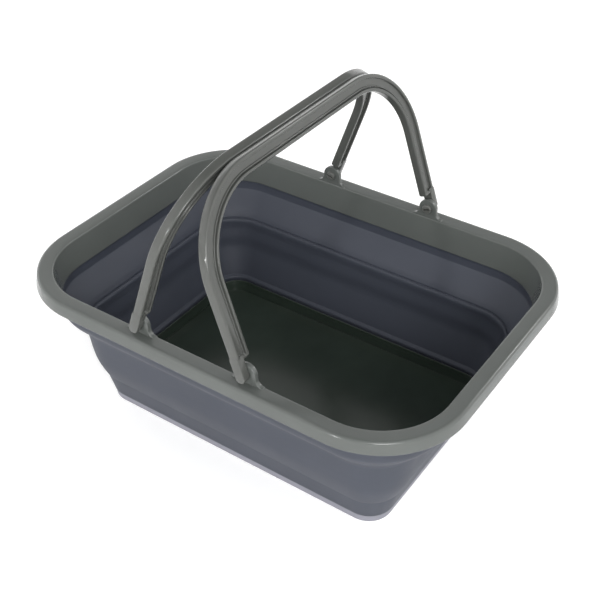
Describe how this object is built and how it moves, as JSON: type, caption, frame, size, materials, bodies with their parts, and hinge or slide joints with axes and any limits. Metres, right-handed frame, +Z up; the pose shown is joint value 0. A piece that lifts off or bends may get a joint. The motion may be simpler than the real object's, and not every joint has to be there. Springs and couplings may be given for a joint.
{
  "type": "pet bathtub",
  "caption": "Collapsible grey pet bathtub with a hard rim, a soft folding wall, a flat base and swinging carry handles",
  "frame": {"origin": "middle of the face the tub stands on", "axes": "X along the length of the rim, Y across the tub, Z up"},
  "size_m": [0.4334, 0.3234, 0.3116],
  "materials": {
    "rim_plastic": "satin moulded grey polypropylene",
    "handle_plastic": "satin moulded grey polypropylene",
    "pin_plastic": "satin moulded dark grey plastic",
    "wall_rubber": "soft-touch blue-grey thermoplastic rubber",
    "base_plastic": "satin moulded light grey polypropylene",
    "floor_plastic": "glossy very dark green plastic"
  },
  "bodies": {
    "base": {"base_tray": "base_plastic", "floor_panel": "floor_plastic", "wall_lower_band": "wall_rubber", "wall_fold_ring_lower": "wall_rubber"},
    "middle_wall": {"wall_middle_band": "wall_rubber", "wall_fold_ring_upper": "wall_rubber"},
    "rim": {"rim_frame": "rim_plastic", "wall_upper_band": "wall_rubber"},
    "handle_left": {"handle_left": "handle_plastic", "snap_pin_left_front": "pin_plastic", "snap_pin_left_back": "pin_plastic"},
    "handle_right": {"handle_right": "handle_plastic", "snap_pin_right_front": "pin_plastic", "snap_pin_right_back": "pin_plastic"}
  },
  "joints": [
    {"name": "wall_collapse", "type": "slide", "parent": "base", "child": "middle_wall", "axis": [0, 0, -1], "range_m": [0, 0.026]},
    {"name": "rim_collapse", "type": "slide", "parent": "middle_wall", "child": "rim", "axis": [0, 0, -1], "range_m": [0, 0.06]},
    {"name": "handle_left_swing", "type": "hinge", "parent": "rim", "child": "handle_left", "pos_m": [-0.0556, 0, 0.1626], "axis": [0, -1, 0], "range_deg": [0, 110]},
    {"name": "handle_right_swing", "type": "hinge", "parent": "rim", "child": "handle_right", "pos_m": [0.0556, 0, 0.1626], "axis": [0, 1, 0], "range_deg": [0, 110]}
  ],
  "couplings": [
    {"joint": "wall_collapse", "follows": "rim_collapse", "ratio": 0.4333}
  ]
}
